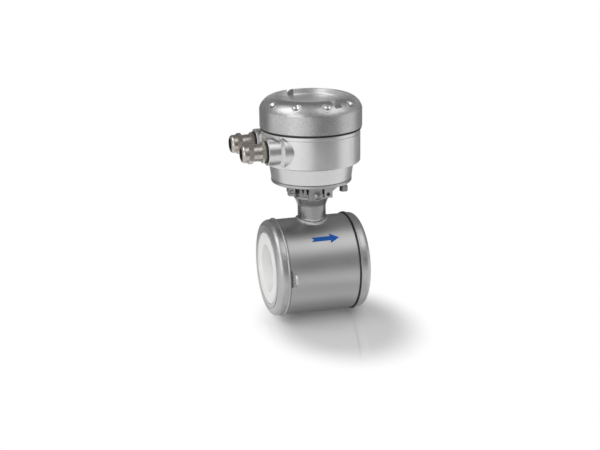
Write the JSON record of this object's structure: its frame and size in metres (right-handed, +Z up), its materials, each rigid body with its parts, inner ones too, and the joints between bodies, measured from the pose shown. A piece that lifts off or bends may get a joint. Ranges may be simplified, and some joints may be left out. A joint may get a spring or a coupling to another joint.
{
  "type": "electromagnetic flow meter",
  "caption": "Stainless wafer style electromagnetic flow sensor with a ceramic measuring tube, a short neck and a round screw-lid connection box with cable glands.",
  "frame": {"origin": "centre of the measuring tube, on the pipe axis, half way between the two sealing faces", "axes": "+X along the pipe in the flow direction of the arrow, +Z up the neck to the connection box, -Y the side with the arrow and the bonding lug"},
  "size_m": [0.1372, 0.1229, 0.2406],
  "materials": {
    "ceramic_white": "matt fired ceramic",
    "shell_steel": "satin stainless steel",
    "ring_steel": "turned stainless steel",
    "neck_steel": "satin stainless steel",
    "box_steel": "blasted stainless steel casting",
    "lid_steel": "blasted stainless steel casting",
    "gland_nickel": "nickel plated brass",
    "fastener_steel": "bright stainless steel",
    "rubber_black": "matt black rubber",
    "cage_plastic": "black polyamide",
    "soft_iron": "bare soft iron",
    "coil_copper": "enamelled copper winding",
    "electrode_metal": "bare metal",
    "potting_black": "cast resin",
    "lead_sheath": "insulated leads",
    "board_green": "coated glass fibre board",
    "terminal_grey": "polyamide"
  },
  "bodies": {
    "meter": {"measuring_tube": "ceramic_white", "electrode_front": "electrode_metal", "electrode_back": "electrode_metal", "tube_seal_inlet": "rubber_black", "tube_seal_outlet": "rubber_black", "end_ring_inlet": "ring_steel", "end_ring_outlet": "ring_steel", "sensor_shell": "shell_steel", "yoke_ring": "soft_iron", "pole_upper": "soft_iron", "pole_lower": "soft_iron", "coil_upper": "coil_copper", "coil_lower": "coil_copper", "neck_tube": "neck_steel", "neck_potting": "potting_black", "neck_flange": "neck_steel", "lead_bundle": "lead_sheath", "bonding_lug": "neck_steel", "base_plate": "box_steel", "clamp_ring": "neck_steel", "clamp_screw": "fastener_steel", "lug_screw": "fastener_steel", "fork_bracket": "fastener_steel", "earth_plate": "fastener_steel", "earth_washer": "fastener_steel", "earth_screw": "fastener_steel", "plug_bolt": "neck_steel", "ring_joint_seal_inlet": "rubber_black", "ring_joint_seal_outlet": "rubber_black", "box_housing": "box_steel", "terminal_board": "board_green", "board_screws": "fastener_steel", "terminal_block_front": "terminal_grey", "terminal_block_back": "terminal_grey", "terminal_screws_front": "fastener_steel", "terminal_screws_back": "fastener_steel", "lead_plug": "cage_plastic", "inner_earth": "gland_nickel", "gland_washer_front": "rubber_black", "gland_body_front": "gland_nickel", "gland_washer_back": "rubber_black", "gland_body_back": "gland_nickel"},
    "lid_carrier": {"lid_seal": "rubber_black"},
    "lid": {"lid": "lid_steel"},
    "gland_clamp_front": {"gland_cage_front": "cage_plastic", "gland_insert_front": "rubber_black"},
    "gland_nut_front": {"gland_nut_front": "gland_nickel"},
    "gland_clamp_back": {"gland_cage_back": "cage_plastic", "gland_insert_back": "rubber_black"},
    "gland_nut_back": {"gland_nut_back": "gland_nickel"}
  },
  "joints": [
    {"name": "lid_lift", "type": "slide", "parent": "meter", "child": "lid_carrier", "axis": [0, 0, 1], "range_m": [0, 0.01]},
    {"name": "lid_turn", "type": "hinge", "parent": "lid_carrier", "child": "lid", "pos_m": [0, 0, 0.16], "axis": [0, 0, 1], "range_deg": [0, 1800]},
    {"name": "gland_clamp_front_slide", "type": "slide", "parent": "meter", "child": "gland_clamp_front", "axis": [-1, 0, 0], "range_m": [0, 0.006]},
    {"name": "gland_nut_front_turn", "type": "hinge", "parent": "gland_clamp_front", "child": "gland_nut_front", "pos_m": [-0.0734, -0.024, 0.13485], "axis": [-1, 0, 0], "range_deg": [0, 1440]},
    {"name": "gland_clamp_back_slide", "type": "slide", "parent": "meter", "child": "gland_clamp_back", "axis": [-1, 0, 0], "range_m": [0, 0.006]},
    {"name": "gland_nut_back_turn", "type": "hinge", "parent": "gland_clamp_back", "child": "gland_nut_back", "pos_m": [-0.0734, 0.024, 0.13485], "axis": [-1, 0, 0], "range_deg": [0, 1440]}
  ],
  "couplings": [
    {"joint": "lid_lift", "follows": "lid_turn", "m_per_rad": 0.000318},
    {"joint": "gland_clamp_front_slide", "follows": "gland_nut_front_turn", "m_per_rad": 0.0002385},
    {"joint": "gland_clamp_back_slide", "follows": "gland_nut_back_turn", "m_per_rad": 0.0002385}
  ]
}
